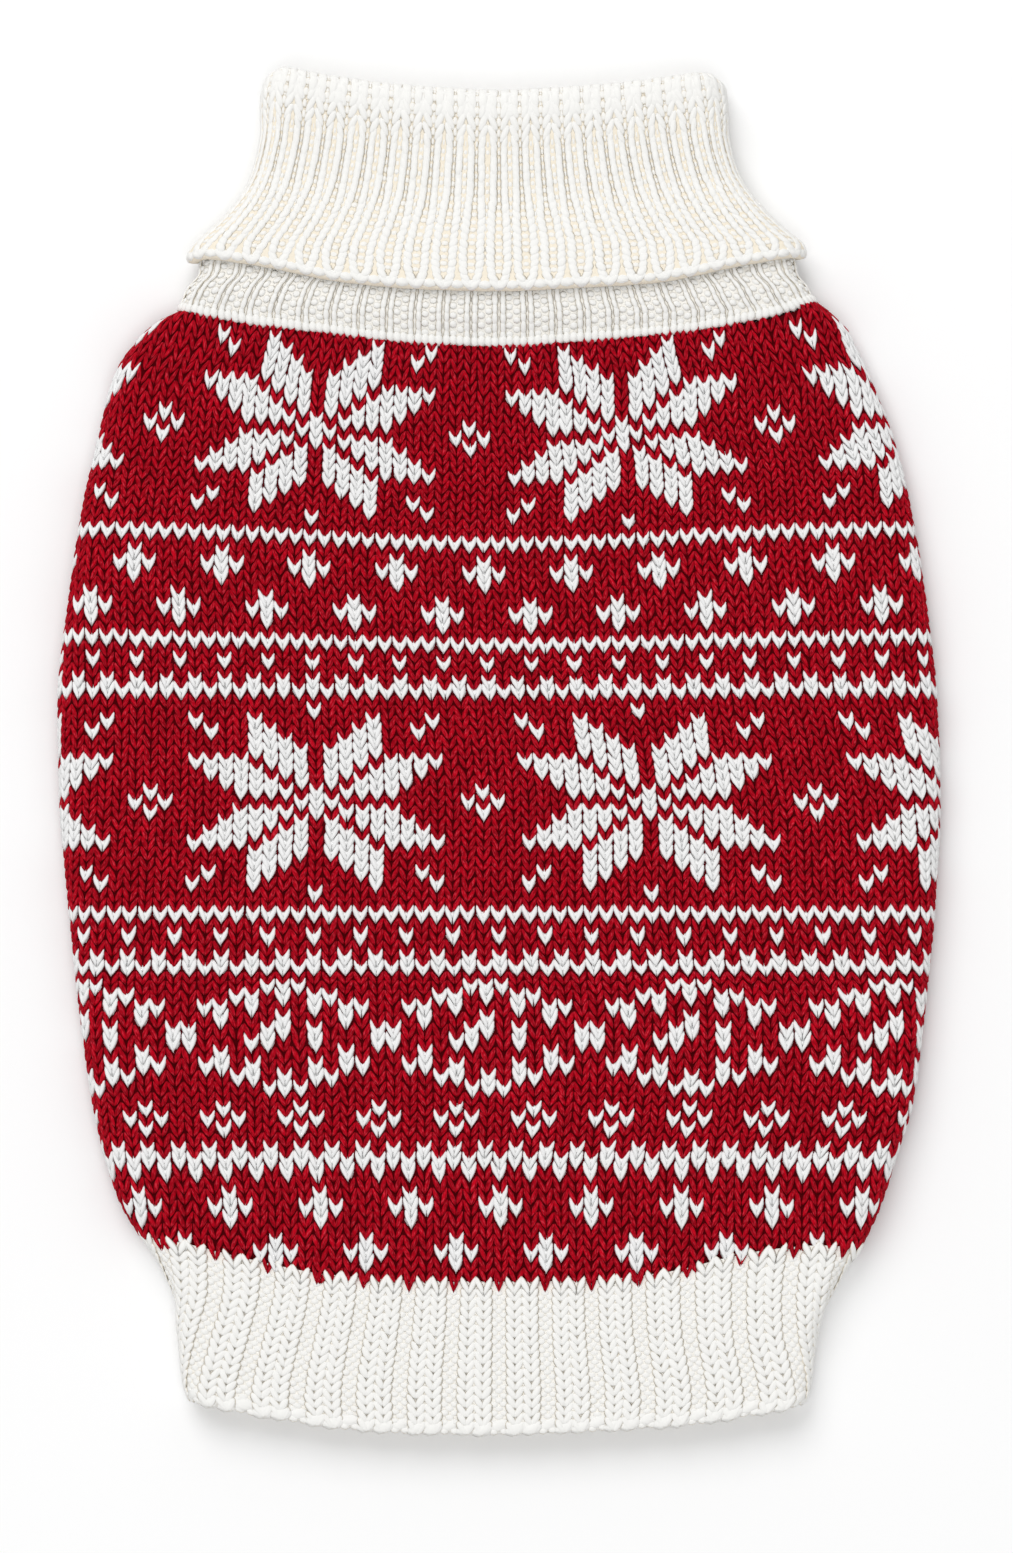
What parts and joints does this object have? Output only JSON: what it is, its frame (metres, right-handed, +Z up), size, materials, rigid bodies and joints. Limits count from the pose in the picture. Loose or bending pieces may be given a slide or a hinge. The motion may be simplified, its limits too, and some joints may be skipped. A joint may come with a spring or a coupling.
{
  "type": "knitted turtleneck sweater for a dog",
  "caption": "Knitted dog sweater laid flat: red stranded-knit back over a plain belly with leg openings, turned-down rib turtleneck and rib hem.",
  "frame": {"origin": "on the surface the garment lies on, under the middle of its bounding box", "axes": "+Y along the back towards the collar, +X across the garment, +Z up out of the back"},
  "size_m": [0.2694, 0.4161, 0.0205],
  "materials": {
    "red_knit": "matt heathered red wool-look yarn, stockinette with white stranded motifs on the back",
    "ivory_rib": "matt ivory wool-look yarn in raised rib knit"
  },
  "bodies": {
    "root": {"back_panel": "red_knit", "belly_panel": "red_knit", "collar": "ivory_rib", "hem_rib": "ivory_rib", "leg_cuff_left": "ivory_rib", "leg_cuff_right": "ivory_rib"}
  },
  "joints": []
}
